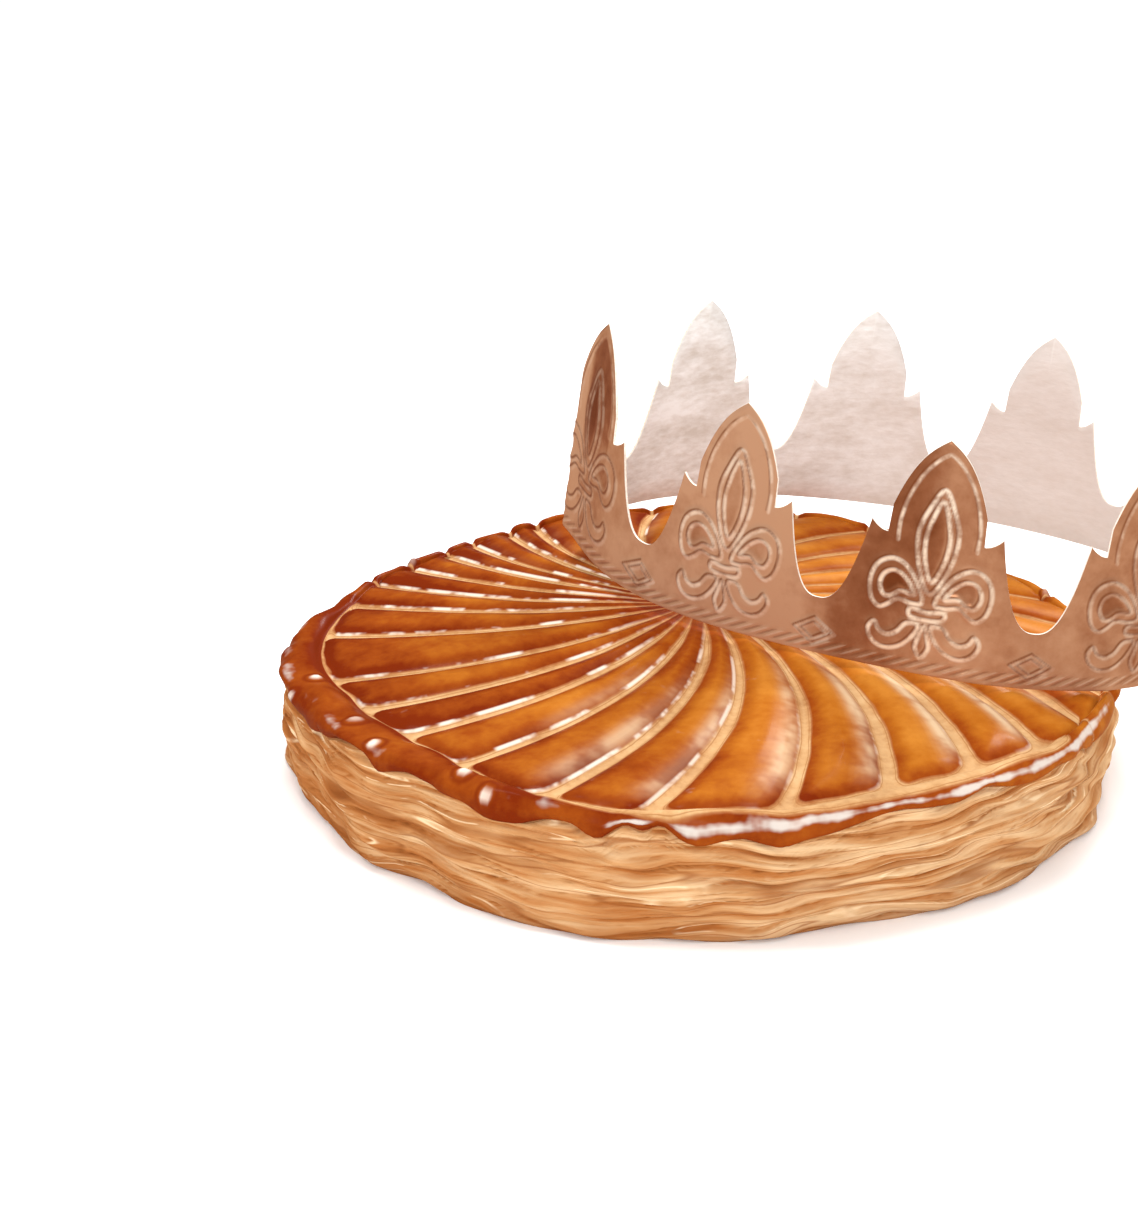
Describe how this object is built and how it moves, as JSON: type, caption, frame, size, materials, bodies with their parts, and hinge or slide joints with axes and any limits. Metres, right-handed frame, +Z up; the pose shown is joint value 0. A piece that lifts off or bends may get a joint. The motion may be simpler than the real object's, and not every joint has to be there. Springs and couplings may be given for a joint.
{
  "type": "galette des rois",
  "caption": "Round glazed puff pastry scored in a spiral, with a paper crown of pointed peaks lying tipped on it.",
  "frame": {"origin": "middle of the flat base of the pastry, on the surface it rests on", "axes": "+Z up, -Y towards the front, +X towards the side where the crown hangs past the rim"},
  "size_m": [0.311, 0.2703, 0.1269],
  "materials": {
    "glazed_crust": "glossy egg glaze on browned puff pastry",
    "foil_card": "embossed copper foil outside, pale card inside"
  },
  "bodies": {
    "root": {"galette": "glazed_crust", "crown": "foil_card"}
  },
  "joints": []
}
